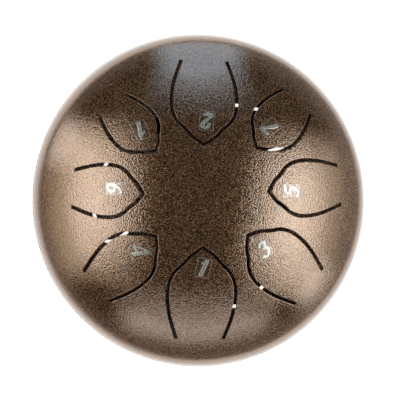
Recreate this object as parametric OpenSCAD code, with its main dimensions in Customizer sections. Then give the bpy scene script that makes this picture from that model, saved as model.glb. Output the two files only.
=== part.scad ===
// Steel tongue drum: two dished steel bowls welded rim to rim, with eight petal tongues
// cut in the top, three in the underside, a sound hole, note labels and rubber feet.
// Millimetres. +Z is up, the origin is on the resting plane at the drum's axis, and +Y
// points at the tongue of note 2.

/* [Bowls] */
// Outside diameter at the welded rim
body_d = 155; // [135:1:175]
// Outside radius of the crown of each bowl
crown_r = 110; // [100:1:140]
// Outside radius of the knuckle between crown and rim
knuckle_r = 13; // [9:0.5:18]
// Thickness of the steel sheet
wall_t = 1.5; // [1:0.1:2.2]
// Diameter of the sound hole in the underside
hole_d = 28; // [16:1:32]

/* [Seam] */
// Depth of the weld groove, less than the sheet thickness
weld_depth = 0.8; // [0.5:0.1:0.9]
// Half of the weld's width on the outside
weld_half_w = 0.8; // [0.5:0.1:1.2]
// Height that the weld bead stands proud
weld_proud = 0.25; // [0.1:0.05:0.5]

/* [Tongues] */
// Width of the cut round each tongue
slit_w = 1.5; // [0.8:0.1:2]
// Clearance at the root, where the tongue's solid meets its bowl
root_clear = 0.05; // [0.03:0.01:0.1]
// Straight steps that draw each stretch between two outline points
outline_steps = 3; // [2:1:4]

/* [Labels] */
// Width of a note label
label_w = 6.6; // [5:0.1:7.5]
// Height of a note label
label_h = 9; // [7:0.1:10]
// Thickness of the label film
label_t = 0.2; // [0.1:0.05:0.4]

/* [Feet] */
// Height of the lower bowl's lowest point above the resting plane
foot_drop = 4; // [3:0.5:8]
// Diameter of a foot where it meets the bowl
foot_top_d = 16; // [14:0.5:18]
// Diameter of a foot on the resting plane
foot_base_d = 13; // [12:0.5:14]
// Diameter of the moulded recess under a foot
recess_d = 5; // [4:0.5:6]
// Depth of the moulded recess under a foot
recess_depth = 1.5; // [1:0.5:3]
// Diameter of the stem that plugs into the bowl
stem_d = 5; // [4:0.5:6]
// Gap between the stem and the rim of its hole
stem_clear = 0.1; // [0.05:0.05:0.2]
// Diameter of the retaining bulb inside the bowl
bulb_d = 8; // [7:0.5:9]
// Height of the retaining bulb above the inside of the bowl
bulb_h = 2.5; // [2:0.5:4]

/* [Hidden] */

$fn = 96;

steel_colour = [0.36, 0.26, 0.19];
weld_colour = [0.30, 0.22, 0.16];
film_colour = [0.75, 0.77, 0.76];
rubber_colour = [0.07, 0.07, 0.07];

// Bowl section: the crown's arc runs into the knuckle's arc at the blend angle.
body_r = body_d / 2;
knuckle_x = body_r - knuckle_r;
blend_angle = asin(knuckle_x / (crown_r - knuckle_r));
half_h = crown_r - (crown_r - knuckle_r) * cos(blend_angle);
seam_z = foot_drop + half_h;
upper_centre_z = seam_z + half_h - crown_r;
lower_centre_z = foot_drop + crown_r;

// Length that cuts run past what they cut
overrun = body_r;

// Top tongues in the order 1 to 7 and high 1: bearing of the root from +X, lean of the
// tongue's own line, then places and half widths as shares of the body radius.
top_bearings = [-90.6, 88.8, -38.7, -140.5, 6.3, 174.9, 45.8, 133.5];
top_leans = [0, -0.5, 0, 1, -0.7, 0.2, 1.9, -0.7];
top_tip_shares = [0.28, 0.32, 0.332, 0.352, 0.385, 0.352, 0.437, 0.396];
top_root_shares = [0.824, 0.828, 0.826, 0.806, 0.832, 0.764, 0.823, 0.768];
top_width_shares = [0.201, 0.194, 0.185, 0.163, 0.165, 0.155, 0.154, 0.142];

// Underside tongues, back, left and front: their roots are near the sound hole and
// their tips point outwards.
low_bearings = [52.7, 180, -63.8];
low_leans = [13, -6.9, -6.3];
low_tip_shares = [0.687, 0.646, 0.707];
low_root_shares = [0.487, 0.392, 0.374];
low_width_shares = [0.261, 0.266, 0.272];

// Half outline of a tongue: share of its length from the tip, share of its half width.
petal_shares = [
    [0, 0], [0.05, 0.2], [0.1, 0.38], [0.15, 0.49], [0.2, 0.62], [0.25, 0.77],
    [0.31, 0.88], [0.4, 0.97], [0.52, 1], [0.64, 0.975], [0.76, 0.91], [0.88, 0.81],
    [1, 0.7]
];

// Labels: place along the tongue, place across in label widths, and twist in degrees.
label_along_shares = [0.22, 0.28, 0.26, 0.27, 0.31, 0.41, 0.37, 0.38];
label_across_shares = [0.05, -0.17, -0.05, 0, -0.12, -0.2, 0.21, -0.26];
label_twists = [-10, -3, -21, -20, -6, 5, -8, -21];

// Feet, right, back and front, between the underside tongues.
foot_bearings = [-6, 115, -122];
foot_r_share = 0.52;
foot_r = body_r * foot_r_share;
bulb_tip_share = 0.5;

// Height of the lower bowl's outside and inside over the resting plane at radius r.
function lower_outside_z(r) = lower_centre_z - sqrt(pow(crown_r, 2) - pow(r, 2));
function lower_inside_z(r) = lower_centre_z - sqrt(pow(crown_r - wall_t, 2) - pow(r, 2));

// Point at share t between knots b and c of a curve that passes through all its knots.
function curve_point(a, b, c, d, t) =
    (b * 2 + (c - a) * t + (a * 2 - b * 5 + c * 4 - d) * pow(t, 2)
    + (b * 3 - a - c * 3 + d) * pow(t, 3)) / 2;

// The curve through a list of knots, straight on before the first and after the last.
function curve(k) =
    let (last = len(k) - 1)
    concat(
        [for (i = [0:last - 1], s = [0:outline_steps - 1])
            curve_point(
                i == 0 ? k[0] * 2 - k[1] : k[i - 1],
                k[i],
                k[i + 1],
                i + 1 == last ? k[last] * 2 - k[last - 1] : k[i + 2],
                s / outline_steps
            )],
        [k[last]]
    );

// One side of an outline from tip to root, moved out by a distance square to the curve.
function side(p, out) =
    let (
        last = len(p) - 1,
        tip_turn = atan2(p[1][1] - p[0][1], p[1][0] - p[0][0]),
        root_turn = atan2(p[last][1] - p[last - 1][1], p[last][0] - p[last - 1][0])
    )
    concat(
        [[-out / sin(tip_turn), 0]],
        [for (i = [1:last - 1])
            let (t = p[i + 1] - p[i - 1])
            p[i] + [-t[1], t[0]] * out / norm(t)],
        [[p[last][0], p[last][1] + out / cos(root_turn)]]
    );

// Whole outline with the tip at the origin and the root across x = length.
function outline(length, half_w, out) =
    let (half = side([for (p = curve(petal_shares)) [p[0] * length, p[1] * half_w]], out))
    concat(half, [for (i = [len(half) - 1:-1:1]) [half[i][0], -half[i][1]]]);

// Length of a top or an underside tongue from tip to root.
function top_length(i) = body_r * (top_root_shares[i] - top_tip_shares[i]);
function low_length(i) = body_r * (low_tip_shares[i] - low_root_shares[i]);

// Places a tongue's own frame, whose x runs from tip to root, on the top of the drum.
module on_top(i) {
    rotate([0, 0, top_bearings[i]])
        translate([body_r * top_root_shares[i], 0, seam_z])
            rotate([0, 0, top_leans[i]])
                translate([-top_length(i), 0, 0])
                    children();
}

// The same for the underside, turned over so that its z points down.
module on_underside(i) {
    rotate([0, 0, low_bearings[i]])
        translate([body_r * low_root_shares[i], 0, seam_z])
            rotate([0, 0, low_leans[i]])
                translate([low_length(i), 0, 0])
                    rotate([180, 0, 180])
                        children();
}

// Upright prisms of a tongue's outline, moved out from the middle of its slit.
module top_prism(i, out) {
    on_top(i)
        linear_extrude(overrun)
            polygon(outline(top_length(i), body_r * top_width_shares[i], out));
}

module low_prism(i, out) {
    on_underside(i)
        linear_extrude(overrun)
            polygon(outline(low_length(i), body_r * low_width_shares[i], out));
}

// Everything on the root's side of the clearance between a tongue and its bowl.
module root_block(length) {
    translate([length - root_clear, -overrun, 0])
        cube([overrun, overrun * 2, overrun]);
}

// Half section of a bowl filled up to a depth under its outside surface: a slice of the
// crown's disc and the knuckle's whole disc, over the seam plane.
module filled_section(depth) {
    reach = crown_r * 2;
    crown_z = half_h - crown_r;
    ray = [reach * sin(blend_angle), reach * cos(blend_angle)];
    intersection() {
        union() {
            intersection() {
                translate([0, crown_z])
                    circle(r = crown_r - depth);
                polygon([[0, crown_z], [ray[0], crown_z + ray[1]], [0, crown_z + reach]]);
            }
            translate([knuckle_x, 0])
                circle(r = knuckle_r - depth);
        }
        square(reach);
    }
}

// Section of one bowl's wall, crown arc and knuckle arc.
module wall_section() {
    difference() {
        filled_section(0);
        filled_section(wall_t);
    }
}

// Bowl standing on the seam plane, with the bevel for the weld round its rim.
module bowl() {
    rotate_extrude()
        difference() {
            wall_section();
            polygon([
                [body_r - weld_depth, 0],
                [body_r + weld_depth, weld_half_w * 2],
                [body_r + weld_depth, 0]
            ]);
        }
}

module upper_shell() {
    color(steel_colour)
        difference() {
            translate([0, 0, seam_z])
                bowl();
            for (i = [0:len(top_bearings) - 1])
                top_prism(i, slit_w / 2);
        }
}

module lower_shell() {
    color(steel_colour)
        difference() {
            translate([0, 0, seam_z])
                mirror([0, 0, 1])
                    bowl();
            for (i = [0:len(low_bearings) - 1])
                low_prism(i, slit_w / 2);
            cylinder(d = hole_d, h = seam_z);
            for (bearing = foot_bearings)
                rotate([0, 0, bearing])
                    translate([foot_r, 0, 0])
                        cylinder(d = stem_d + stem_clear * 2, h = seam_z);
        }
}

// Bead that fills the two bevels and stands a little proud of the rim.
module seam_weld() {
    crest_share = 0.4;
    color(weld_colour)
        translate([0, 0, seam_z])
            rotate_extrude()
                polygon([
                    [body_r - weld_depth, 0],
                    [body_r, -weld_half_w],
                    [body_r + weld_proud, -weld_half_w * crest_share],
                    [body_r + weld_proud, weld_half_w * crest_share],
                    [body_r, weld_half_w]
                ]);
}

// Layer of a bowl's crown between two heights over its outside surface.
module crown_layer(centre_z, from_h, to_h) {
    translate([0, 0, centre_z])
        difference() {
            sphere(r = crown_r + to_h);
            sphere(r = crown_r + from_h);
        }
}

module tongue(i) {
    color(steel_colour)
        difference() {
            intersection() {
                crown_layer(upper_centre_z, -wall_t, 0);
                top_prism(i, -slit_w / 2);
            }
            on_top(i)
                root_block(top_length(i));
        }
}

module lower_tongue(i) {
    color(steel_colour)
        difference() {
            intersection() {
                crown_layer(lower_centre_z, -wall_t, 0);
                low_prism(i, -slit_w / 2);
            }
            on_underside(i)
                root_block(low_length(i));
        }
}

// Film stuck on a tongue, its upper edge towards the drum's centre.
module label(i) {
    along = top_length(i) * label_along_shares[i];
    across = label_w * label_across_shares[i];
    color(film_colour)
        intersection() {
            crown_layer(upper_centre_z, 0, label_t);
            on_top(i)
                translate([along, across, 0])
                    rotate([0, 0, label_twists[i]])
                        linear_extrude(overrun)
                            square([label_h, label_w], center = true);
        }
}

// Moulded rubber foot: tapered pad seated on the bowl, stem and retaining bulb.
module foot(bearing) {
    pad_h = lower_outside_z(foot_r + foot_top_d / 2);
    neck_z = lower_outside_z(foot_r - foot_top_d / 2);
    bulb_base_z = lower_inside_z(foot_r - bulb_d / 2);
    bulb_top_z = lower_inside_z(foot_r) + bulb_h;
    color(rubber_colour)
        rotate([0, 0, bearing])
            union() {
                difference() {
                    translate([foot_r, 0, 0])
                        cylinder(d1 = foot_base_d, d2 = foot_top_d, h = pad_h);
                    translate([0, 0, lower_centre_z])
                        sphere(r = crown_r);
                    translate([foot_r, 0, -overrun])
                        cylinder(d = recess_d, h = overrun + recess_depth);
                }
                translate([foot_r, 0, neck_z / 2])
                    cylinder(d = stem_d, h = bulb_top_z - neck_z / 2);
                intersection() {
                    translate([foot_r, 0, bulb_base_z])
                        cylinder(
                            d1 = bulb_d,
                            d2 = bulb_d * bulb_tip_share,
                            h = bulb_top_z - bulb_base_z
                        );
                    translate([0, 0, lower_centre_z])
                        sphere(r = crown_r - wall_t);
                }
            }
}

upper_shell();
lower_shell();
seam_weld();

tongue(0);  // tongue_1
tongue(1);  // tongue_2
tongue(2);  // tongue_3
tongue(3);  // tongue_4
tongue(4);  // tongue_5
tongue(5);  // tongue_6
tongue(6);  // tongue_7
tongue(7);  // tongue_1_high

label(0);  // label_1
label(1);  // label_2
label(2);  // label_3
label(3);  // label_4
label(4);  // label_5
label(5);  // label_6
label(6);  // label_7
label(7);  // label_1_high

lower_tongue(0);  // lower_tongue_back
lower_tongue(1);  // lower_tongue_left
lower_tongue(2);  // lower_tongue_front

foot(foot_bearings[0]);  // foot_right
foot(foot_bearings[1]);  // foot_back
foot(foot_bearings[2]);  // foot_front
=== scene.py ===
"""Steel tongue drum: hammered bronze paint, petal tongues, clear note labels and rubber feet.

Lengths are worked out in millimetres and put into the meshes in metres. The origin is on
the resting plane at the drum's axis, +Z is up and +Y points at the tongue of note 2.
"""

import math
from collections import namedtuple

import bmesh
import bpy
import numpy as np
from mathutils import Matrix


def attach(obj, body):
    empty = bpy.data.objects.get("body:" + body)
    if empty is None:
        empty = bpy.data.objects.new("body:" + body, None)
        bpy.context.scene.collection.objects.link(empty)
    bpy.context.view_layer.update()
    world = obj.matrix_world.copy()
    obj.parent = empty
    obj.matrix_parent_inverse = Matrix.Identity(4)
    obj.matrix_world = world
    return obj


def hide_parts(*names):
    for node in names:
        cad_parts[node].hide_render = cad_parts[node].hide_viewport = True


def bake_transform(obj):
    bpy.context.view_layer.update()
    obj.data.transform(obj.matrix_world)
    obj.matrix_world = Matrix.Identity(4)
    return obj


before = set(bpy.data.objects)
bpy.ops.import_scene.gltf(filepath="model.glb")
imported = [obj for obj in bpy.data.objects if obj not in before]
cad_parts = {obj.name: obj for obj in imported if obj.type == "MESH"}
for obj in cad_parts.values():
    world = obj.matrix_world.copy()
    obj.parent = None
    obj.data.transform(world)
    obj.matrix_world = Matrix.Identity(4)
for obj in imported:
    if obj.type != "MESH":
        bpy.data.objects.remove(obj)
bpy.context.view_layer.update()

MM = 0.001
scene = bpy.context.scene

# Bowls
BODY_R = 77.5
CROWN_R = 110.0
KNUCKLE_R = 13.0
WALL = 1.5
HOLE_R = 14.0
FOOT_DROP = 4.0
KNUCKLE_X = BODY_R - KNUCKLE_R
BLEND_ANGLE = math.asin(KNUCKLE_X / (CROWN_R - KNUCKLE_R))
HALF_H = CROWN_R - (CROWN_R - KNUCKLE_R) * math.cos(BLEND_ANGLE)
SEAM_Z = FOOT_DROP + HALF_H
UPPER_CENTRE = SEAM_Z + HALF_H - CROWN_R
LOWER_CENTRE = FOOT_DROP + CROWN_R

# Plan radii where the petal patches meet the turned parts of the bowls
CAP_R = 15.0
RING_R = 69.5
HOLE_RING_R = 19.0

# Groove of the weld, and its bead with a close ripple and a slow drift round the seam
WELD_HALF = 0.8
WELD_DEPTH = 0.8
BEAD_SINK = 0.05
BEAD_CREST = 0.22
BEAD_ROWS = 8
BEAD_POINTS = 720
RIPPLE_SHARE = 0.16
RIPPLES = 180
DRIFT_SHARE = 0.08
DRIFTS = 37

# Cuts round the tongues: how far from the cut and how deep in the sheet each row of the
# rounded edge lies, and how far past the root line a hole's rows stand
SLIT = 1.5
EDGE_R = 0.25
EDGE_REACH = 0.42
EDGE_ANGLES = np.radians([0, 30, 60, 90])
EDGE_OFFS = np.concatenate([[0], EDGE_R * (1 - np.cos(EDGE_ANGLES)), [EDGE_REACH]])
EDGE_DEPTHS = np.concatenate([[WALL], EDGE_R * (1 - np.sin(EDGE_ANGLES)), [0]])
ROOT_OFFS = np.array([0, 0, 0.02, 0.04, 0.06, 0.2])

# Half outline of a tongue: share of its length from the tip, share of its half width
PETAL_SHARES = np.array([
    [0, 0], [0.05, 0.2], [0.1, 0.38], [0.15, 0.49], [0.2, 0.62], [0.25, 0.77],
    [0.31, 0.88], [0.4, 0.97], [0.52, 1], [0.64, 0.975], [0.76, 0.91], [0.88, 0.81],
    [1, 0.7],
])
NEAR_ROOT_SHARE = 0.94

# How finely the sheets are divided
PETAL_STEPS = 3
ROOT_CELLS = 16
TIP_CELLS = 9
PATCH_ROWS = 8
CAP_ROWS = 8
HOLE_CELLS = 4
KNUCKLE_CELLS = 14
INNER_KNUCKLE_CELLS = 12
CROWN_CELLS = 3

# Points closer than this are one, and edges shorter than this go
MERGE = 0.002
SLIVER = 0.001

# Tongues: bearing and lean in degrees, tip, root and half width as shares of the body radius
Tongue = namedtuple("Tongue", "note bearing lean tip root half upper")
TOP = [
    Tongue("1", -90.6, 0, 0.28, 0.824, 0.201, True),
    Tongue("2", 88.8, -0.5, 0.32, 0.828, 0.194, True),
    Tongue("3", -38.7, 0, 0.332, 0.826, 0.185, True),
    Tongue("4", -140.5, 1, 0.352, 0.806, 0.163, True),
    Tongue("5", 6.3, -0.7, 0.385, 0.832, 0.165, True),
    Tongue("6", 174.9, 0.2, 0.352, 0.764, 0.155, True),
    Tongue("7", 45.8, 1.9, 0.437, 0.823, 0.154, True),
    Tongue("1_high", 133.5, -0.7, 0.396, 0.768, 0.142, True),
]
LOW = [
    Tongue("back", 52.7, 13, 0.687, 0.487, 0.261, False),
    Tongue("left", 180, -6.9, 0.646, 0.392, 0.266, False),
    Tongue("front", -63.8, -6.3, 0.707, 0.374, 0.272, False),
]

# Sectors of each bowl, from one bearing to the next, each round one hole
TOP_EDGES = {
    "4": (-166.5, -116.5), "1": (-116.5, -63), "3": (-63, -15.5), "5": (-15.5, 26.5),
    "7": (26.5, 66), "2": (66, 112.5), "1_high": (112.5, 153.5), "6": (153.5, 193.5),
}
LOW_EDGES = {
    "front": (-105, -22), "right foot": (-22, 11), "back": (11, 97),
    "back foot": (97, 132), "left": (132, 221), "front foot": (221, 255),
}

# Labels, in the order of the top tongues: share of the tongue's length from its tip, share
# of the label's width off the middle line, and twist in degrees
Label = namedtuple("Label", "along across twist")
LABELS = [
    Label(0.22, 0.05, -10), Label(0.28, -0.17, -3), Label(0.26, -0.05, -9),
    Label(0.27, 0, -20), Label(0.31, -0.12, -6), Label(0.41, -0.2, 5),
    Label(0.37, 0.21, -8), Label(0.4, -0.19, -19),
]
LABEL_W = 6.6
LABEL_H = 9.0
LABEL_T = 0.2
LABEL_CELLS = 6
GLUE_T = 0.002
ROLL_IN = np.array([0, 0.05, 0.2, 0.4])
ROLL_UP = np.array([0.01, 0.13, 0.19, LABEL_T - 0.005])

# Figures: slant is sideways run to height. The ink's edge sinks a little into the film, its
# underside lies lower still, and each next stroke of a figure lies a little higher.
SLANT = 0.2
INK_T = 0.035
INK_SINK = 0.004
INK_BELOW = 0.01
STROKE_RISE = 0.006

# Pen: its width to a stroke's own, how far a rounded end reaches to half the width there,
# and the places and heights of the points across it
PEN = 1.2
PEN_STEPS = 6
PEN_END_SHARE = 0.6
PEN_SHARES = np.array([-1, -0.92, -0.7, 0, 0.7, 0.92, 1])
CROWN_SHARES = np.array([0, 0.7, 1, 1.1, 1, 0.7, 0])

# Strokes of the figures: x, y and width along each stroke, in a box 4.6 wide and 7 high
FIGURES = {
    "1": [
        [(0.35, 3.5, 1.5), (0.3, 1.5, 1.5), (0.2, -1.0, 1.5), (0.1, -3.5, 1.6)],
        [(0.5, 3.2, 1.0), (-0.4, 2.7, 0.9), (-1.6, 1.9, 0.7)],
    ],
    "2": [
        [(-1.5, 1.5, 1.2), (-1.45, 2.6, 1.1), (-0.2, 3.25, 0.9), (1.25, 2.7, 1.3), (1.3, 1.4, 1.5),
         (0.2, 0.0, 1.2), (-1.2, -1.6, 0.9), (-1.9, -2.9, 0.8)],
        [(-1.9, -2.95, 0.9), (-0.8, -2.75, 1.2), (0.6, -3.0, 1.3), (1.9, -2.5, 0.9)],
    ],
    "3": [
        [(-1.5, 2.2, 1.2), (-0.9, 3.1, 0.8), (0.3, 3.25, 0.9), (1.35, 2.3, 1.4), (0.8, 0.9, 1.1),
         (-0.4, 0.35, 0.7)],
        [(-0.3, 0.4, 0.7), (1.2, -0.1, 1.2), (1.6, -1.6, 1.5), (0.5, -3.1, 1.0), (-1.0, -3.2, 0.8),
         (-1.8, -2.1, 1.3)],
    ],
    "4": [
        [(1.2, 3.4, 0.8), (-0.8, 1.2, 0.6), (-2.2, -1.0, 0.7)],
        [(-2.2, -1.4, 0.8), (0.2, -1.5, 0.8), (2.1, -1.4, 0.8)],
        [(1.35, 3.4, 1.1), (1.3, 0.0, 1.2), (1.2, -3.4, 1.4)],
    ],
    "5": [
        [(-1.0, 3.0, 1.1), (0.5, 3.05, 1.2), (1.8, 3.2, 1.0)],
        [(-1.0, 3.0, 0.9), (-1.3, 1.6, 0.8), (-1.5, 0.4, 0.8)],
        [(-1.4, 0.5, 0.8), (0.2, 1.0, 1.0), (1.5, -0.2, 1.5), (1.2, -2.2, 1.4), (-0.3, -3.2, 0.9),
         (-1.9, -2.5, 1.2)],
    ],
    "6": [
        [(1.5, 3.1, 0.9), (0.0, 2.6, 1.1), (-1.3, 0.8, 1.4), (-1.6, -1.4, 1.4), (-0.6, -3.0, 1.1),
         (0.8, -2.9, 1.2), (1.6, -1.5, 1.3), (1.0, -0.1, 1.1), (-0.3, 0.1, 0.8), (-1.4, -0.9, 0.7)],
    ],
    "7": [
        [(-1.8, 2.0, 0.7), (-1.6, 2.9, 1.2), (0.2, 3.0, 1.2), (2.0, 3.1, 0.9)],
        [(2.0, 3.0, 0.8), (0.8, 1.0, 1.1), (-0.2, -1.2, 1.5), (-0.6, -3.4, 1.6)],
    ],
}

# The high note's figure is a lower 1 with a dot above
HIGH_SIZE = np.array([1.0, 0.86])
HIGH_SHIFT = np.array([0.0, -0.55])
HIGH_DOT = [(0.5, 4.75, 1.15), (0.55, 5.0, 1.15)]

# Feet: bearings in degrees, and the rings of a foot from the recess below to the bulb inside
# the bowl, each a radius, a height and what the height is measured from
FEET = {"right": -6, "back": 115, "front": -122}
FOOT_R = BODY_R * 0.52
STEM_R = 2.5
STEM_CLEAR = 0.1
FOOT_CELLS = 64
FOOT_RINGS = [
    (0, 1.5, "plane"), (2.2, 1.5, "plane"), (2.42, 1.35, "plane"), (2.5, 1.0, "plane"),
    (2.5, 0.25, "plane"), (2.6, 0.06, "plane"), (2.75, 0, "plane"), (5.9, 0, "plane"),
    (6.25, 0.08, "plane"), (6.47, 0.3, "plane"), (6.55, 0.6, "plane"),
    (7.15, -0.5, "outside"), (7.3, -0.3, "outside"), (7.3, -0.12, "outside"),
    (7.1, -0.02, "outside"), (6.6, 0, "outside"), (4.5, 0, "outside"), (STEM_R, 0, "outside"),
    (STEM_R, 0, "inside"), (3.4, 0, "inside"), (3.8, 0.08, "inside"), (3.95, 0.35, "inside"),
    (3.6, 0.95, "inside"), (2.9, 1.9, "inside"), (2.3, 2.35, "inside"), (1.4, 2.5, "inside"),
    (0, 2.5, "inside"),
]

# Paint: scales in cells to the metre, lengths in metres
PEBBLE_SCALE = 1500.0
PEBBLE_BLUR = 0.25
WORM_SCALE = 1100.0
FLAKE_SCALE = 2400.0
CLOUD_SCALE = 60.0
SWIRL_SCALE = 1400.0
SWIRL_REACH = 0.00035
CALM_FROM = 0.05
CALM_TO = 0.067
CALM_SHARE = 0.42
PAINT_DEPTH = 0.0001
WELD_PAINT_DEPTH = 0.00004

# Tones of the paint from its dullest to its brightest glint
BRONZE = [
    (0.43, (0.15, 0.073, 0.034)),
    (0.55, (0.32, 0.161, 0.079)),
    (0.66, (0.53, 0.3, 0.166)),
]
WELD_BRONZE = [
    (0.42, (0.075, 0.038, 0.018)),
    (0.55, (0.185, 0.1, 0.049)),
    (0.68, (0.335, 0.196, 0.108)),
]

# Camera: lengths in metres but lens and sensor in millimetres, the shift in picture pixels
PICTURE = 400
SENSOR = 36
LENS = 182.5
SHIFT_RIGHT = 1.1
SHIFT_UP = 0.4
CAMERA_REACH = 0.95
CAMERA_WAY = (-0.0609, -0.0128, 1)
CLIP_NEAR = 0.05
CLIP_FAR = 100

# Floor in metres: its profile, the oval pool of light painted on it and how bright it is in and out
FLOOR_PROFILE = np.array([
    [0, 0], [0.15, 0], [0.6, 0], [2.5, 0], [6, 0], [6.6, 0.03], [7.2, 0.16], [7.6, 0.4],
    [7.8, 0.9],
])
FLOOR_CELLS = 96
POOL_TURN = 115
POOL_LONG = 0.25
POOL_SHORT = 0.135
POOL_INNER_SHARE = 0.75
POOL_OUTER_SHARE = 2.3
# Painted pool of light: the floor's colour and glow near the drum and far away
FLOOR_NEAR = 0.82
FLOOR_FAR = 0.33
GLOW_NEAR = 0.72
GLOW_FAR = 0.21
ROOM = 0.02

# Lamps: angles in degrees from straight up and round from +X, height and width as angles
# seen from the drum, and the brightness and colour of the face
Lamp = namedtuple("Lamp", "name zenith bearing tall wide radiance colour shape")
WARM = (1, 0.94, 0.76)
PALE_WARM = (1, 0.98, 0.84)
CLEAR = (0.92, 0.98, 1)
CLEARER = (0.95, 1, 1)
WHITE = (0.97, 1, 1)
BLUE = (0.5, 0.74, 1)
LAMPS = [
    Lamp("left_wide", 61, 180, 46, 66, 0.45, WARM, "RECTANGLE"),
    Lamp("left_mid", 58, 180, 36, 62, 0.65, WARM, "RECTANGLE"),
    Lamp("left_core", 51.5, 179, 26, 56, 1.7, CLEAR, "ELLIPSE"),
    Lamp("right_wide", 61, -8, 48, 66, 0.45, PALE_WARM, "RECTANGLE"),
    Lamp("right_mid", 57, -8, 38, 62, 0.65, PALE_WARM, "RECTANGLE"),
    Lamp("right_core", 50.5, -7, 26, 56, 1.9, CLEAR, "ELLIPSE"),
    Lamp("back", 77, 87, 35, 31, 1.2, BLUE, "RECTANGLE"),
    Lamp("front", 68, -89, 18, 62, 1, WHITE, "RECTANGLE"),
    Lamp("back_left", 78, 155, 20, 18, 1.2, CLEAR, "RECTANGLE"),
    Lamp("front_right", 77, -34, 18, 18, 1.1, CLEARER, "RECTANGLE"),
]
LAMP_REACH = 1.4
LAMP_AIM = 0.06


# Surfaces

def dome(plan, depth, upper):
    """Points of a bowl's crown over plan points: height is the sphere's centre plus (top bowl)
    or minus (bottom bowl) the square root of (crown radius - depth) squared - x squared - y squared."""
    rise = np.sqrt((CROWN_R - depth) ** 2 - plan[..., 0] ** 2 - plan[..., 1] ** 2)
    z = UPPER_CENTRE + rise if upper else LOWER_CENTRE - rise
    return np.concatenate([plan, z[..., None]], axis=-1)


def level_dome(plan, height):
    """Points of the top bowl's crown, lifted by one height above its outside."""
    return dome(plan, np.full(plan.shape[:2], -height), True)


def polar(radius, degrees):
    """Plan points at a radius and a bearing: (r cos b, r sin b)."""
    turn = np.radians(degrees)
    return np.stack([radius * np.cos(turn), radius * np.sin(turn)], axis=-1)


def between(knots, share):
    """Points a share of the way along every stretch of the smooth curve through the knots: a
    cubic whose slope at a knot is half the step between its neighbours, straight on past
    both ends."""
    k = np.vstack([2 * knots[0] - knots[1], knots, 2 * knots[-1] - knots[-2]])
    a, b, c, d = (k[i:len(k) - 3 + i, None, :] for i in range(4))
    return (2 * b + (c - a) * share + (2 * a - 5 * b + 4 * c - d) * share ** 2
            + (3 * b - a - 3 * c + d) * share ** 3) / 2


def through(knots, steps):
    """The smooth curve through the knots as one line, with even steps along each stretch."""
    shares = (np.arange(steps) / steps)[None, :, None]
    return np.vstack([between(knots, shares).reshape(-1, knots.shape[1]), knots[-1:]])


def petal_curve():
    """Half outline in shares, with one point more close to the root."""
    line = through(PETAL_SHARES, PETAL_STEPS)
    near_root = between(PETAL_SHARES, NEAR_ROOT_SHARE)[-1]
    return np.vstack([line[:-1], near_root, line[-1:]])


CURVE = petal_curve()
SIDE_POINTS = len(CURVE)


def length_of(t):
    """Length of a tongue from tip to root."""
    return BODY_R * abs(t.root - t.tip)


def side(t, out):
    """Left side of a tongue from tip to root, moved out square to the curve by a distance:
    the tip slides along the middle line and the root end stays on the root line."""
    p = CURVE * [length_of(t), BODY_R * t.half]
    step = p[2:] - p[:-2]
    square = np.stack([-step[:, 1], step[:, 0]], axis=1)
    q = p.copy()
    q[1:-1] += out * square / np.linalg.norm(step, axis=1)[:, None]
    first, last = p[1] - p[0], p[-1] - p[-2]
    q[0] = [-out * np.hypot(*first) / first[1], 0]
    q[-1, 1] += out * np.hypot(*last) / last[0]
    return q


def placed(t, own):
    """Plan points from a tongue's own frame, whose x runs from tip to root: the root goes to
    the origin, the tongue is turned by its lean, moved out to the root's radius and turned
    to its bearing. An underside tongue is first mirrored end for end."""
    x = (own[..., 0] - length_of(t)) * (1 if t.upper else -1)
    y = own[..., 1]
    lean, bearing = math.radians(t.lean), math.radians(t.bearing)
    px = x * math.cos(lean) - y * math.sin(lean) + BODY_R * t.root
    py = x * math.sin(lean) + y * math.cos(lean)
    return np.stack([px * math.cos(bearing) - py * math.sin(bearing),
                     px * math.sin(bearing) + py * math.cos(bearing)], axis=-1)


def root_columns(t):
    """Places across the root line, left to right, that a tongue and its bowl share."""
    inner = side(t, -SLIT / 2 - EDGE_REACH)[-1, 1]
    return np.linspace(inner, -inner, ROOT_CELLS + 1)


# Meshes

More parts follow.
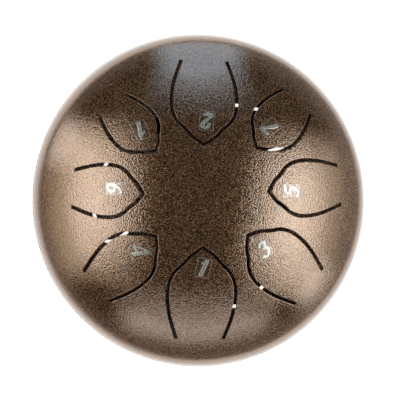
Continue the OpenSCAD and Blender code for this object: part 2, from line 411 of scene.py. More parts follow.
class Skin:
    """Gathers grids of points and their four-sided faces for one mesh."""

    def __init__(self):
        self.points = []
        self.faces = []
        self.marks = []
        self.count = 0

    def grid(self, points, closed=False, mark=0.0):
        """Adds a rows by columns grid; closed joins the last column to the first. Mark is a
        value at each point, kept as the mesh's "edge" attribute."""
        rows, columns = points.shape[:2]
        self.marks.append(np.broadcast_to(mark, (rows, columns)).ravel())
        index = np.arange(rows * columns).reshape(rows, columns) + self.count
        if closed:
            index = np.concatenate([index, index[:, :1]], axis=1)
        quads = np.stack([index[:-1, :-1], index[:-1, 1:], index[1:, 1:], index[1:, :-1]], axis=-1)
        self.points.append(points.reshape(-1, 3))
        self.faces.append(quads.reshape(-1, 4))
        self.count += rows * columns
        return self

    def slab(self, top, bottom, mark):
        """Adds a top and a bottom grid of one size and the four walls between their borders.
        Mark is for the top, and the walls are marked 1."""
        self.grid(top, mark=mark).grid(bottom)
        for border in (np.s_[0], np.s_[-1], np.s_[:, 0], np.s_[:, -1]):
            self.grid(np.stack([top[border], bottom[border]]), mark=1.0)
        return self

    def build(self, name, material, sharp_degrees=32):
        """The finished object: joined seams, faces outwards, smooth but for sharp edges."""
        mesh = bpy.data.meshes.new(name)
        mesh.from_pydata((np.vstack(self.points) * MM).tolist(), [], np.vstack(self.faces).tolist())
        marks = np.concatenate(self.marks).astype(np.float32)
        if marks.any():
            mesh.attributes.new("edge", "FLOAT", "POINT").data.foreach_set("value", marks)
        shape = bmesh.new()
        shape.from_mesh(mesh)
        bmesh.ops.remove_doubles(shape, verts=shape.verts, dist=MERGE * MM)
        bmesh.ops.dissolve_degenerate(shape, edges=shape.edges, dist=SLIVER * MM)
        bmesh.ops.recalc_face_normals(shape, faces=shape.faces)
        shape.to_mesh(mesh)
        shape.free()
        mesh.polygons.foreach_set("use_smooth", np.ones(len(mesh.polygons), bool))
        mesh.set_sharp_from_angle(angle=math.radians(sharp_degrees))
        mesh.materials.append(material)
        obj = bpy.data.objects.new(name, mesh)
        scene.collection.objects.link(obj)
        return obj


def turned(profile, bearings):
    """A profile of (radius, height) points carried round the axis through the bearings."""
    plan = polar(profile[:, None, 0], bearings[None, :])
    z = np.broadcast_to(profile[:, None, 1:], plan.shape[:2] + (1,))
    return np.concatenate([plan, z], axis=-1)


def all_round(count):
    """Evenly spaced bearings of a whole turn."""
    return np.arange(count) * 360 / count


def dome_profile(radii, depth, upper):
    """Profile points of a crown at plan radii."""
    plan = np.stack([radii, np.zeros_like(radii)], axis=1)
    return dome(plan, depth, upper)[:, [0, 2]]


def tip_arc(mid, edges):
    """Bearings along a sector's arc by the tip, from one edge over the tip to the other."""
    return np.concatenate([np.linspace(edges[0], mid, TIP_CELLS + 1)[:-1],
                           np.linspace(mid, edges[1], TIP_CELLS + 1)])


def root_arc(edges):
    """Bearings along a sector's arc by the root: the sector's two corners, two points for the
    cut at each side, and one for each inner column of the tongue between them."""
    return np.linspace(edges[0], edges[1], ROOT_CELLS + 5)


def keystone(mid, edges, tip_r, root_r):
    """Closed boundary of a sector, point for point against a tongue's hole: half the tip's
    arc, the left edge, the root's arc, the right edge and the other half of the tip's arc."""
    radii = np.linspace(tip_r, root_r, SIDE_POINTS - TIP_CELLS)
    left_tip = polar(tip_r, np.linspace(mid, edges[1], TIP_CELLS + 1)[:-1])
    right_tip = polar(tip_r, np.linspace(edges[0], mid, TIP_CELLS + 1)[1:-1])
    return np.vstack([left_tip, polar(radii, edges[1]), polar(root_r, root_arc(edges))[-2:0:-1],
                      polar(radii, edges[0])[::-1], right_tip])


def hole_rows(t):
    """Closed loops round a tongue's hole, from the inside of the sheet over the rounded edge
    to the outside: both sides moved out by half the cut and the edge's own step, joined
    across the root line by the columns that the tongue shares. Returns plan points and depths."""
    loops, depths = [], []
    columns = root_columns(t)
    reach = side(t, -SLIT / 2)[-1, 1]
    for off, depth, ahead in zip(EDGE_OFFS, EDGE_DEPTHS, ROOT_OFFS):
        left = side(t, SLIT / 2 + off)
        left[-1, 0] += ahead
        half_way = (left[-1, 1] + reach) / 2
        across = np.concatenate([[half_way, reach], columns[1:-1], [-reach, -half_way]])
        root = np.stack([np.full_like(across, length_of(t) + ahead), across], axis=1)
        right = left[:0:-1] * [1, -1]
        loops.append(np.vstack([left, root, right]))
        sunk = np.full(len(loops[-1]), depth)
        if depth < WALL:
            sunk[len(left):len(left) + len(root)] = 0
        depths.append(sunk)
    return placed(t, np.array(loops)), np.array(depths)


def stem_hole(bearing, edges):
    """Loops round a foot's stem hole: circle points in the direction of each boundary point.
    Returns plan points, depths and the boundary."""
    rim = keystone(bearing, edges, RING_R, HOLE_RING_R)
    centre = polar(FOOT_R, bearing)
    ray = rim - centre
    ray = ray / np.linalg.norm(ray, axis=1)[:, None]
    loops = np.array([centre + (STEM_R + STEM_CLEAR + off) * ray for off in EDGE_OFFS])
    return loops, np.broadcast_to(EDGE_DEPTHS[:, None], loops.shape[:2]), rim


def patch(skin, loops, depths, rim, upper):
    """One sector of a bowl, as a single sheet through its hole: in along the inside from the
    sector's boundary to the hole, over the hole's rounded edge, and out along the outside.
    A point between hole and boundary is their straight mix in plan, put on the crown."""
    share = np.linspace(0, 1, PATCH_ROWS + 1)[:, None, None]
    outside = (1 - share) * loops[-1] + share * rim
    inside = ((1 - share) * loops[0] + share * rim)[::-1]
    plan = np.concatenate([inside, loops[1:-1], outside])
    depth = np.concatenate([np.full(inside.shape[:2], WALL), depths[1:-1],
                            np.zeros(outside.shape[:2])])
    skin.grid(dome(plan, depth, upper), closed=True)


def rim_profile(sign):
    """Profile of a bowl from the outside of the ring, over the knuckle and the weld's bevel,
    and back along the inside: crown and knuckle are arcs about their own centres."""
    inside_r = CROWN_R - WALL
    bevel = math.acos(WELD_HALF / KNUCKLE_R)
    crown = np.linspace(math.asin(RING_R / CROWN_R), BLEND_ANGLE, CROWN_CELLS + 1)[:-1]
    knuckle = np.linspace(BLEND_ANGLE, bevel, KNUCKLE_CELLS + 1)
    inner_knuckle = np.linspace(math.pi / 2, BLEND_ANGLE, INNER_KNUCKLE_CELLS + 1)
    inner_crown = np.linspace(BLEND_ANGLE, math.asin(RING_R / inside_r), CROWN_CELLS + 1)[1:]

    def arc(centre_r, centre_z, radius, angles):
        """Points of an arc about a centre, by their angles from straight up."""
        return np.stack([centre_r + radius * np.sin(angles), centre_z + radius * np.cos(angles)], 1)

    return np.vstack([
        arc(0, HALF_H - CROWN_R, CROWN_R, crown),
        arc(KNUCKLE_X, 0, KNUCKLE_R, knuckle),
        [[BODY_R - WELD_DEPTH, 0]],
        arc(KNUCKLE_X, 0, KNUCKLE_R - WALL, inner_knuckle),
        arc(0, HALF_H - CROWN_R, inside_r, inner_crown),
    ]) * [1, sign] + [0, SEAM_Z]


# Steel pieces

def upper_bowl(material):
    """Top bowl: eight petal sectors, the cap inside them and the turned ring outside."""
    skin = Skin()
    cap_bearings, ring_bearings = [], []
    tongues = {t.note: t for t in TOP}
    for note, edges in TOP_EDGES.items():
        t = tongues[note]
        loops, depths = hole_rows(t)
        patch(skin, loops, depths, keystone(t.bearing, edges, CAP_R, RING_R), True)
        cap_bearings.append(tip_arc(t.bearing, edges)[:-1])
        ring_bearings.append(root_arc(edges)[:-1])
    radii = np.linspace(CAP_R, 0, CAP_ROWS + 1)
    for depth in (0, WALL):
        skin.grid(turned(dome_profile(radii, depth, True), np.concatenate(cap_bearings)), closed=True)
    skin.grid(turned(rim_profile(1), np.concatenate(ring_bearings)), closed=True)
    return skin.build("upper_bowl", material)


def lower_bowl(material):
    """Bottom bowl: three petal sectors and three foot sectors, the sound hole's turned edge
    inside them and the turned ring outside."""
    skin = Skin()
    tip_bearings, root_bearings = [], []
    tongues = {t.note: t for t in LOW}
    for key, edges in LOW_EDGES.items():
        if key in tongues:
            mid = tongues[key].bearing
            loops, depths = hole_rows(tongues[key])
            rim = keystone(mid, edges, RING_R, HOLE_RING_R)
        else:
            mid = FEET[key.split()[0]]
            mid += 360 if mid < edges[0] else 0
            loops, depths, rim = stem_hole(mid, edges)
        patch(skin, loops, depths, rim, False)
        tip_bearings.append(tip_arc(mid, edges)[:-1])
        root_bearings.append(root_arc(edges)[:-1])
    outside = dome_profile(np.linspace(HOLE_RING_R, HOLE_R + EDGE_REACH, HOLE_CELLS), 0, False)
    edge = np.vstack([dome_profile(np.array([HOLE_R + off]), depth, False)
                      for off, depth in zip(EDGE_OFFS[-2::-1], EDGE_DEPTHS[-2::-1])])
    inside = dome_profile(np.linspace(HOLE_R, HOLE_RING_R, HOLE_CELLS + 1)[1:], WALL, False)
    skin.grid(turned(np.vstack([outside, edge, inside]), np.concatenate(root_bearings)), closed=True)
    skin.grid(turned(rim_profile(-1), np.concatenate(tip_bearings)), closed=True)
    return skin.build("lower_bowl", material)


def tongue_sheet(t, material):
    """One tongue, a closed loop of columns at each station from tip to root: rounded left
    edge, straight mix from left to right, rounded right edge, and the inside back again. The
    last loop is closed by a face between its roof and its floor."""
    sides = np.array([side(t, -SLIT / 2 - off) for off in EDGE_OFFS])
    mirrored = sides * [1, -1]
    share = np.linspace(0, 1, ROOT_CELLS + 1)[1:-1, None, None]
    middle = (1 - share) * sides[-1] + share * mirrored[-1]
    below = (1 - share) * sides[0] + share * mirrored[0]
    top = np.concatenate([sides[1:], middle, mirrored[:0:-1]])
    inside = np.concatenate([sides[:1], below, mirrored[:1]])[::-1]
    top_depths = np.concatenate([EDGE_DEPTHS[1:], np.zeros(len(middle)), EDGE_DEPTHS[:0:-1]])
    depth = np.concatenate([np.broadcast_to(top_depths[:, None], top.shape[:2]),
                            np.full(inside.shape[:2], WALL)])
    loop = dome(placed(t, np.concatenate([top, inside])), depth, t.upper)
    skin = Skin().grid(loop.transpose(1, 0, 2), closed=True)
    roof, floor = loop[:len(top), -1], loop[len(top):, -1][::-1]
    spare = (len(roof) - len(floor)) // 2
    floor = np.concatenate([np.repeat(floor[:1], spare, 0), floor, np.repeat(floor[-1:], spare, 0)])
    skin.grid(np.stack([roof, floor]))
    name = f"tongue_{t.note}_sheet" if t.upper else f"lower_tongue_{t.note}_sheet"
    return skin.build(name, material)


def weld_bead(material):
    """Bead round the seam: a rounded profile whose crest rises and falls a little in closely
    spaced ripples, radius = body radius + crest height times (1 + two small sines of the bearing)."""
    around = np.radians(all_round(BEAD_POINTS))
    swing = np.radians(np.linspace(-90, 90, BEAD_ROWS + 1))[:, None]
    ripple = 1 + RIPPLE_SHARE * np.sin(around * RIPPLES) + DRIFT_SHARE * np.sin(around * DRIFTS + 1)
    crest = BODY_R - BEAD_SINK + BEAD_CREST * np.cos(swing) * ripple
    height = np.broadcast_to(SEAM_Z + WELD_HALF * np.sin(swing), crest.shape)
    root = np.full((1, BEAD_POINTS), BODY_R - WELD_DEPTH)
    radius = np.concatenate([crest, root, crest[:1]])
    height = np.concatenate([height, np.full_like(root, SEAM_Z), height[:1]])
    points = np.stack([radius * np.cos(around), radius * np.sin(around), height], axis=-1)
    return Skin().grid(points, closed=True).build("weld_bead", material, sharp_degrees=50)


# Feet

def rubber_foot(name, bearing, material):
    """Moulded foot, turned about its own axis: each ring has a radius and a height, measured
    from the resting plane, or from the outside or inside of the bowl at every point of it."""
    loops = []
    for radius, height, above in FOOT_RINGS:
        plan = polar(FOOT_R, bearing) + polar(radius, all_round(FOOT_CELLS))
        if above == "plane":
            loops.append(np.concatenate([plan, np.full((FOOT_CELLS, 1), height)], axis=1))
        else:
            loops.append(dome(plan, WALL if above == "inside" else 0, False) + [0, 0, height])
    return Skin().grid(np.array(loops), closed=True).build(name, material, sharp_degrees=40)


# Labels

def label_plan(t, label, own):
    """Plan points from a label's own frame, x right and y up as its figure is read: the
    figure's top points at the drum's centre, and the label is turned by its twist and moved
    to its place on the tongue."""
    turn = math.radians(label.twist)
    x, y = -own[..., 1], own[..., 0]
    along = length_of(t) * label.along + x * math.cos(turn) - y * math.sin(turn)
    across = LABEL_W * label.across + x * math.sin(turn) + y * math.cos(turn)
    return placed(t, np.stack([along, across], axis=-1))


def film_rows(size):
    """Places and heights across a film of one size: up over the roll, level, down again."""
    half = size / 2
    core = np.linspace(-half + ROLL_IN[-1], half - ROLL_IN[-1], LABEL_CELLS + 1)[1:-1]
    places = np.concatenate([-half + ROLL_IN, core, half - ROLL_IN[::-1]])
    heights = np.concatenate([ROLL_UP, np.full(len(core), ROLL_UP[-1]), ROLL_UP[::-1]])
    return places, heights


def label_film(t, label, material):
    """Thin clear film: a rectangle whose border rows roll over to the tongue's surface."""
    xs, x_heights = film_rows(LABEL_W)
    ys, y_heights = film_rows(LABEL_H)
    plan = label_plan(t, label, np.stack(np.meshgrid(xs, ys, indexing="ij"), axis=-1))
    lift = np.minimum(x_heights[:, None], y_heights[None, :])
    rolled = (lift < ROLL_UP[-1]) * 1.0
    skin = Skin().slab(dome(plan, -lift, True), level_dome(plan, GLUE_T), rolled)
    return skin.build(f"label_{t.note}_film", material)


def stroke_loops(knots):
    """Plan points, crown and rim of one pen stroke: a ribbon square to its middle line, as
    wide as the pen there, with rounded ends and a slightly crowned top."""
    line = through(np.array(knots, float), PEN_STEPS)
    centre, width = line[:, :2], PEN * line[:, 2]
    step = np.gradient(centre, axis=0)
    step /= np.linalg.norm(step, axis=1)[:, None]
    swing = np.radians([90, 60, 30])
    ends = []
    for at, way in ((0, -1), (-1, 1)):
        radius = width[at] / 2
        middle = centre[at] + way * PEN_END_SHARE * radius * np.sin(swing)[:, None] * step[at]
        ends.append((middle, width[at] * np.cos(swing), np.repeat(step[at][None], len(swing), 0)))
    centre = np.vstack([ends[0][0], centre, ends[1][0][::-1]])
    width = np.concatenate([ends[0][1], width, ends[1][1][::-1]])
    step = np.vstack([ends[0][2], step, ends[1][2][::-1]])
    square = np.stack([-step[:, 1], step[:, 0]], axis=1)
    plan = centre[:, None] + square[:, None] * (width[:, None, None] / 2 * PEN_SHARES[None, :, None])
    size = plan.shape[:2]
    return plan, np.broadcast_to(CROWN_SHARES, size), np.broadcast_to(abs(PEN_SHARES), size)


def figure(t, label, material):
    """The printed figure of a note: its pen strokes, slanted, laid on the film."""
    high = t.note == "1_high"
    strokes = FIGURES[t.note[0]] + ([HIGH_DOT] if high else [])
    base = LABEL_T - INK_SINK
    skin = Skin()
    for number, knots in enumerate(strokes):
        own, crown, rim = stroke_loops(knots)
        if high:
            own = own * HIGH_SIZE + HIGH_SHIFT
        own = own + np.stack([own[..., 1] * SLANT, 0 * own[..., 1]], axis=-1)
        plan = label_plan(t, label, own)
        top = dome(plan, -(base + (INK_T + STROKE_RISE * number) * crown), True)
        skin.slab(top, level_dome(plan, base - INK_BELOW), rim)
    return skin.build(f"figure_{t.note}", material, sharp_degrees=60)


# Nodes

def group(name, inputs, outputs):
    """An empty node group with named number inputs and typed outputs."""
    tree = bpy.data.node_groups.new(name, "ShaderNodeTree")
    for label, value in inputs.items():
        socket = tree.interface.new_socket(label, in_out="INPUT", socket_type="NodeSocketFloat")
        socket.default_value = value
    for label, kind in outputs.items():
        tree.interface.new_socket(label, in_out="OUTPUT", socket_type=kind)
    return tree, tree.nodes.new("NodeGroupInput"), tree.nodes.new("NodeGroupOutput")


def node(tree, kind, **settings):
    """A node with its settings and, after in_, the default values of its inputs."""
    made = tree.nodes.new(kind)
    for key, value in settings.items():
        if key.startswith("in_"):
            slot = key[3:]
            made.inputs[int(slot) if slot.isdigit() else slot.replace("_", " ")].default_value = value
        else:
            setattr(made, key, value)
    return made


def texture(tree, kind, place, **settings):
    """A texture node that reads its pattern at a place."""
    made = node(tree, kind, **settings)
    tree.links.new(place, made.inputs["Vector"])
    return made


def ramp(tree, source, stops):
    """A colour ramp fed by a socket; stops are (place, colour)."""
    made = tree.nodes.new("ShaderNodeValToRGB")
    marks = made.color_ramp.elements
    while len(marks) < len(stops):
        marks.new(0.5)
    for mark, (place, colour) in zip(marks, stops):
        mark.position = place
        mark.color = (*colour, 1)
    tree.links.new(source, made.inputs[0])
    return made.outputs["Color"]


def math_node(tree, operation, *values):
    """A maths node; values are sockets or numbers."""
    made = tree.nodes.new("ShaderNodeMath")
    made.operation = operation
    for slot, value in enumerate(values):
        if isinstance(value, (int, float)):
            made.inputs[slot].default_value = value
        else:
            tree.links.new(value, made.inputs[slot])
    return made.outputs[0]


def straight(tree, source, slope, start):
    """Slope times a socket plus start, which is a number or a socket."""
    return math_node(tree, "MULTIPLY_ADD", source, slope, start)


def bump(tree, height, depth, surface, socket="Normal", **settings):
    """Puts a relief of a depth in metres on one of a shader's normals."""
    made = node(tree, "ShaderNodeBump", in_Distance=depth, **settings)
    tree.links.new(height, made.inputs["Height"])
    tree.links.new(made.outputs[0], surface.inputs[socket])


def shader(name, **values):
    """A material with its Principled shader; values are set on the shader's own sockets."""
    made = bpy.data.materials.new(name)
    made.use_nodes = True
    tree = made.node_tree
    surface = tree.nodes["Principled BSDF"]
    for key, value in values.items():
        surface.inputs[key.replace("_", " ")].default_value = value
    return made, tree, surface


# Materials

def calm(tree, place):
    """How rough the paint lies: 1 on the crown, less towards the rim, where it flows smoother.
    A smooth step of the distance from the drum's axis."""
    flat = node(tree, "ShaderNodeVectorMath", operation="MULTIPLY", in_1=(1, 1, 0))
    tree.links.new(place, flat.inputs[0])
    reach = node(tree, "ShaderNodeVectorMath", operation="LENGTH")
    tree.links.new(flat.outputs[0], reach.inputs[0])
    fall = node(tree, "ShaderNodeMapRange", interpolation_type="SMOOTHSTEP", in_From_Min=CALM_FROM,
                in_From_Max=CALM_TO, in_To_Min=1.0, in_To_Max=CALM_SHARE)
    tree.links.new(reach.outputs["Value"], fall.inputs[0])
    return fall.outputs[0]


def hammer_relief():
    """Relief of hammered paint: pebbles two thirds of a millimetre across with soft worm-like
    bounds, from smoothed cells on a swirled position, and a finer grain of metal flakes. It
    is calmer towards the rim. Glint is mostly flakes, with some of the pebbles and a slow
    cloud, a little over a half on average."""
    tree, into, out = group(
        "hammer_relief", {"Pebbles": PEBBLE_SCALE, "Swirl": SWIRL_REACH, "Flakes": FLAKE_SCALE},
        {"Height": "NodeSocketFloat", "Glint": "NodeSocketFloat", "Flake": "NodeSocketFloat"})
    link = tree.links.new
    place = node(tree, "ShaderNodeTexCoord").outputs["Object"]
    swirl = texture(tree, "ShaderNodeTexNoise", place, in_Scale=SWIRL_SCALE, in_Detail=1.0)
    centred = node(tree, "ShaderNodeVectorMath", operation="SUBTRACT", in_1=(0.5, 0.5, 0.5))
    link(swirl.outputs["Color"], centred.inputs[0])
    scaled = node(tree, "ShaderNodeVectorMath", operation="SCALE")
    link(centred.outputs[0], scaled.inputs[0])
    link(into.outputs["Swirl"], scaled.inputs["Scale"])
    moved = node(tree, "ShaderNodeVectorMath", operation="ADD")
    link(place, moved.inputs[0])
    link(scaled.outputs[0], moved.inputs[1])
    cells = texture(tree, "ShaderNodeTexVoronoi", moved.outputs[0], feature="SMOOTH_F1",
                    in_Smoothness=PEBBLE_BLUR)
    link(into.outputs["Pebbles"], cells.inputs["Scale"])
    worms = texture(tree, "ShaderNodeTexNoise", moved.outputs[0], in_Scale=WORM_SCALE, in_Detail=1.0,
                    in_Roughness=0.5)
    flakes = texture(tree, "ShaderNodeTexNoise", place, in_Detail=0.0).outputs["Fac"]
    link(into.outputs["Flakes"], flakes.node.inputs["Scale"])
    cloud = texture(tree, "ShaderNodeTexNoise", place, in_Scale=CLOUD_SCALE, in_Detail=3.0)
    pebble = math_node(tree, "SUBTRACT", 1.0, cells.outputs["Distance"])
    rough = straight(tree, worms.outputs["Fac"], slope=0.8, start=pebble)
    height = straight(tree, flakes, slope=0.1, start=rough)
    dull = math_node(tree, "MULTIPLY", pebble, 0.2)
    slow = straight(tree, cloud.outputs["Fac"], slope=0.03, start=dull)
    glint = straight(tree, flakes, slope=0.8, start=slow)
    link(math_node(tree, "MULTIPLY", height, calm(tree, place)), out.inputs["Height"])
    link(glint, out.inputs["Glint"])
    link(flakes, out.inputs["Flake"])
    return tree


def hammered_paint(relief, name, tones, depth):
    """Bronze hammered paint: metal flakes in a brown body under a clear gloss. Pale specks are
    less metallic, so they still show where no lamp is mirrored. The body has the relief as
    bump, and the gloss has soft waves of its own at the pebbles' scale."""
    made, tree, surface = shader(name, Coat_Weight=1.0, Coat_Roughness=0.04, Coat_IOR=2.1)
    link = tree.links.new
    paint = node(tree, "ShaderNodeGroup", node_tree=relief)
    glint, flake = paint.outputs["Glint"], paint.outputs["Flake"]
    link(ramp(tree, glint, tones), surface.inputs["Base Color"])
    link(straight(tree, glint, slope=-1.7, start=1.58), surface.inputs["Metallic"])
    link(straight(tree, flake, slope=0.06, start=0.14), surface.inputs["Roughness"])
    bump(tree, paint.outputs["Height"], depth, surface)
    place = node(tree, "ShaderNodeTexCoord").outputs["Object"]
    waves = texture(tree, "ShaderNodeTexVoronoi", place, feature="SMOOTH_F1",
                    in_Smoothness=PEBBLE_BLUR, in_Scale=PEBBLE_SCALE)
    gloss = math_node(tree, "MULTIPLY", waves.outputs["Distance"], calm(tree, place))
    bump(tree, gloss, depth, surface, "Coat Normal", invert=True)
    return made


def rubber():
    """Black moulded rubber with a faint dusty grain."""
    made, tree, surface = shader("foot_rubber", Specular_IOR_Level=0.35)
    place = node(tree, "ShaderNodeTexCoord").outputs["Object"]
    grain = texture(tree, "ShaderNodeTexNoise", place, in_Scale=1400.0, in_Detail=3.0).outputs["Fac"]
    dust = texture(tree, "ShaderNodeTexNoise", place, in_Scale=110.0, in_Detail=2.0).outputs["Fac"]
    tone = ramp(tree, dust, [(0.3, (0.012, 0.012, 0.012)), (0.75, (0.032, 0.031, 0.03))])
    tree.links.new(tone, surface.inputs["Base Color"])
    tree.links.new(straight(tree, grain, slope=0.2, start=0.55), surface.inputs["Roughness"])
    bump(tree, grain, 0.00004, surface, in_Strength=0.6)
    return made


def film():
    """Clear label film: it covers only a few hundredths of what lies below with a mirror of
    the room, a little more where it is hazy, and its cut edge is a pale matt line."""
    made, tree, surface = shader("label_film")
    link = tree.links.new
    place = node(tree, "ShaderNodeTexCoord").outputs["Object"]
    waves = texture(tree, "ShaderNodeTexNoise", place, in_Scale=260.0, in_Detail=1.0).outputs["Fac"]
    haze = texture(tree, "ShaderNodeTexNoise", place, in_Scale=900.0, in_Detail=2.0).outputs["Fac"]
    edge = node(tree, "ShaderNodeAttribute", attribute_name="edge").outputs["Fac"]
    tone = ramp(tree, haze, [(0.3, (0.8, 0.74, 0.69)), (0.7, (0.95, 0.92, 0.9))])
    link(tone, surface.inputs["Base Color"])
    link(straight(tree, haze, slope=0.1, start=0.12), surface.inputs["Roughness"])
    link(math_node(tree, "SUBTRACT", 1.0, edge), surface.inputs["Metallic"])
    clear = straight(tree, haze, slope=0.05, start=0.036)
    link(straight(tree, edge, slope=0.25, start=clear), surface.inputs["Alpha"])
    bump(tree, waves, 0.00003, surface, in_Strength=0.5)
    return made


def silver_print():
    """Silver ink of the figures, slightly green-grey with a fine speckle. Its rims are lighter
    and less metallic, a painted highlight for the foil's edges catching the room.
    """
    made, tree, surface = shader("silver_print")
    link = tree.links.new
    place = node(tree, "ShaderNodeTexCoord").outputs["Object"]
    speckle = texture(tree, "ShaderNodeTexNoise", place, in_Scale=1500.0, in_Detail=2.0).outputs["Fac"]
    edge = node(tree, "ShaderNodeAttribute", attribute_name="edge").outputs["Fac"]
    # Painted highlight: the edge mask squared makes the stroke rims lighter in colour and less metallic
    rim = math_node(tree, "POWER", edge, 2.0)
    link(straight(tree, rim, slope=-0.45, start=0.75), surface.inputs["Metallic"])
    rim_highlight_part = math_node(tree, "MULTIPLY", rim, 0.4)
    tone = straight(tree, speckle, slope=0.6, start=rim_highlight_part)
    link(ramp(tree, tone, [(0.15, (0.72, 0.71, 0.65)), (0.7, (0.88, 0.9, 0.85))]),
         surface.inputs["Base Color"])
    link(straight(tree, speckle, slope=0.15, start=0.2), surface.inputs["Roughness"])
    return made


def white_floor():
    """Matt white in an oval pool of light painted round the drum, fading to pale grey far away:
    its colour and its glow both fall off with distance. The camera and mirrors see it glow too,
    but its glow lights nothing, and from below it is clear."""
    made = bpy.data.materials.new("white_floor")
    made.use_nodes = True
    tree = made.node_tree
    tree.nodes.clear()
    link = tree.links.new
    out = node(tree, "ShaderNodeOutputMaterial")
    matt = node(tree, "ShaderNodeBsdfDiffuse")
    glow = node(tree, "ShaderNodeEmission", in_Color=(1, 1, 1, 1))
    place = node(tree, "ShaderNodeTexCoord").outputs["Object"]
    oval = node(tree, "ShaderNodeMapping", vector_type="TEXTURE",
                in_Rotation=(0, 0, math.radians(POOL_TURN)), in_Scale=(POOL_LONG, POOL_SHORT, 1))
    reach = node(tree, "ShaderNodeVectorMath", operation="LENGTH")
    fade = node(tree, "ShaderNodeMapRange", interpolation_type="SMOOTHSTEP",
                in_From_Min=POOL_INNER_SHARE, in_From_Max=POOL_OUTER_SHARE)
    link(place, oval.inputs["Vector"])
    link(oval.outputs[0], reach.inputs[0])
    link(reach.outputs["Value"], fade.inputs[0])
    # Painted pool of light: the floor's colour and glow fall from near the drum to far away
    link(ramp(tree, fade.outputs[0], [(0, (FLOOR_NEAR,) * 3), (1, (FLOOR_FAR,) * 3)]),
         matt.inputs["Color"])
    link(straight(tree, fade.outputs[0], slope=GLOW_FAR - GLOW_NEAR, start=GLOW_NEAR),
         glow.inputs["Strength"])
    rays = node(tree, "ShaderNodeLightPath").outputs
    mirrored = math_node(tree, "MAXIMUM", rays["Is Glossy Ray"], rays["Is Transmission Ray"])
    seen = math_node(tree, "MAXIMUM", rays["Is Camera Ray"], mirrored)
    lit = node(tree, "ShaderNodeAddShader")
    link(matt.outputs[0], lit.inputs[0])
    link(glow.outputs[0], lit.inputs[1])
    pick = node(tree, "ShaderNodeMixShader")
    link(seen, pick.inputs[0])
    link(matt.outputs[0], pick.inputs[1])
    link(lit.outputs[0], pick.inputs[2])
    clear = node(tree, "ShaderNodeBsdfTransparent")
    below = node(tree, "ShaderNodeNewGeometry").outputs["Backfacing"]
    whole = node(tree, "ShaderNodeMixShader")
    link(below, whole.inputs[0])
    link(pick.outputs[0], whole.inputs[1])
    link(clear.outputs[0], whole.inputs[2])
    link(whole.outputs[0], out.inputs["Surface"])
    return made


# Camera, floor and lamps

def look(obj, place, target, up=(0, 1, 0)):
    """Stands an object at a place with its -Z towards the target and its Y towards up."""
    back = place - target
    back = back / np.linalg.norm(back)
    right = np.cross(up, back)
    right = right / np.linalg.norm(right)
    over = np.cross(back, right)
    world = np.eye(4)
    world[:3, 0], world[:3, 1], world[:3, 2], world[:3, 3] = right, over, back, place
    obj.matrix_world = Matrix(world.tolist())


def make_camera():
    """Long lens nearly overhead, leaning a little to the left."""
    data = bpy.data.cameras.new("camera")
    data.sensor_width = SENSOR
    data.lens = LENS
    data.shift_x = SHIFT_RIGHT / PICTURE
    data.shift_y = SHIFT_UP / PICTURE
    data.clip_start, data.clip_end = CLIP_NEAR, CLIP_FAR
    obj = bpy.data.objects.new("camera", data)
    scene.collection.objects.link(obj)
    middle = np.array([0, 0, SEAM_Z * MM])
    way = np.array(CAMERA_WAY)
    look(obj, middle + CAMERA_REACH * way / np.linalg.norm(way), middle)
    scene.camera = obj


def make_floor():
    """White sweep: a flat disc whose far edge curves up into a low wall, a profile turned
    about the drum's axis."""
    points = turned(FLOOR_PROFILE / MM, all_round(FLOOR_CELLS))
    obj = Skin().grid(points, closed=True).build("floor", white_floor(), sharp_degrees=80)
    if obj.data.polygons[0].normal.z < 0:
        obj.data.flip_normals()


def make_world():
    """Plain dim grey room."""
    world = bpy.data.worlds.new("room")
    world.use_nodes = True
    back = world.node_tree.nodes["Background"]
    back.inputs["Color"].default_value = (ROOM, ROOM, ROOM, 1)
    back.inputs["Strength"].default_value = 1
    scene.world = world


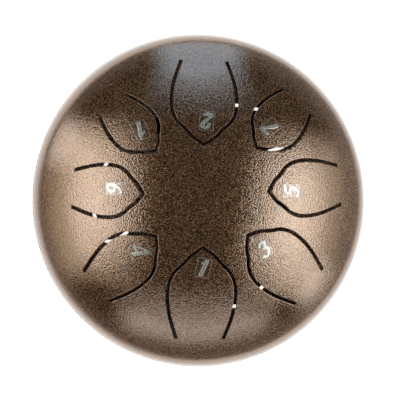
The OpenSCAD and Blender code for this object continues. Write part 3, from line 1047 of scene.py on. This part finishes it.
def make_lamp(lamp):
    """Soft panel facing the drum, whose size and power follow from its angles and brightness:
    side = 2 reach tan(angle / 2), and power = pi times brightness times area."""
    z, b = math.radians(lamp.zenith), math.radians(lamp.bearing)
    way = np.array([math.sin(z) * math.cos(b), math.sin(z) * math.sin(b), math.cos(z)])
    data = bpy.data.lights.new(lamp.name, "AREA")
    data.shape = lamp.shape
    data.size = 2 * LAMP_REACH * math.tan(math.radians(lamp.wide) / 2)
    data.size_y = 2 * LAMP_REACH * math.tan(math.radians(lamp.tall) / 2)
    face = data.size * data.size_y * (math.pi / 4 if lamp.shape == "ELLIPSE" else 1)
    data.energy = lamp.radiance * math.pi * face
    data.color = lamp.colour
    obj = bpy.data.objects.new(lamp.name, data)
    scene.collection.objects.link(obj)
    middle = np.array([0, 0, LAMP_AIM])
    look(obj, middle + LAMP_REACH * way, middle, up=(0, 0, 1))


def make_lamps():
    """Left and right a wide, a middle and a brighter oval panel, a cool panel behind the drum,
    a low one in front, and two small ones at the back left and the front right."""
    for lamp in LAMPS:
        make_lamp(lamp)


# Assembly

make_camera()
make_floor()
make_world()
make_lamps()
scene.view_settings.view_transform = "Standard"

relief = hammer_relief()
paint = hammered_paint(relief, "hammered_paint", BRONZE, PAINT_DEPTH)
weld_paint = hammered_paint(relief, "painted_weld", WELD_BRONZE, WELD_PAINT_DEPTH)
foot_rubber = rubber()
clear_film = film()
ink = silver_print()

for piece, name, slot in (
    (upper_bowl(paint), "upper_shell", "hammered_paint"),
    (lower_bowl(paint), "lower_shell", "hammered_paint"),
    (weld_bead(weld_paint), "seam_weld", "painted_weld"),
):
    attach(piece, "drum")
    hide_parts(name)

for where, bearing in FEET.items():
    piece = rubber_foot(f"rubber_foot_{where}", bearing, foot_rubber)
    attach(piece, "drum")
    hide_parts(f"foot_{where}")

# Tongue sheets, built in place with their transforms baked, take the place of the imported tongues
for t in TOP + LOW:
    piece = tongue_sheet(t, paint)
    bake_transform(piece)
    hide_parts(f"tongue_{t.note}" if t.upper else f"lower_tongue_{t.note}")

for t, label in zip(TOP, LABELS):
    sheet = label_film(t, label, clear_film)
    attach(sheet, f"tongue_body_{t.note}")
    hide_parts(f"label_{t.note}")
    sign = figure(t, label, ink)
    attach(sign, f"tongue_body_{t.note}")
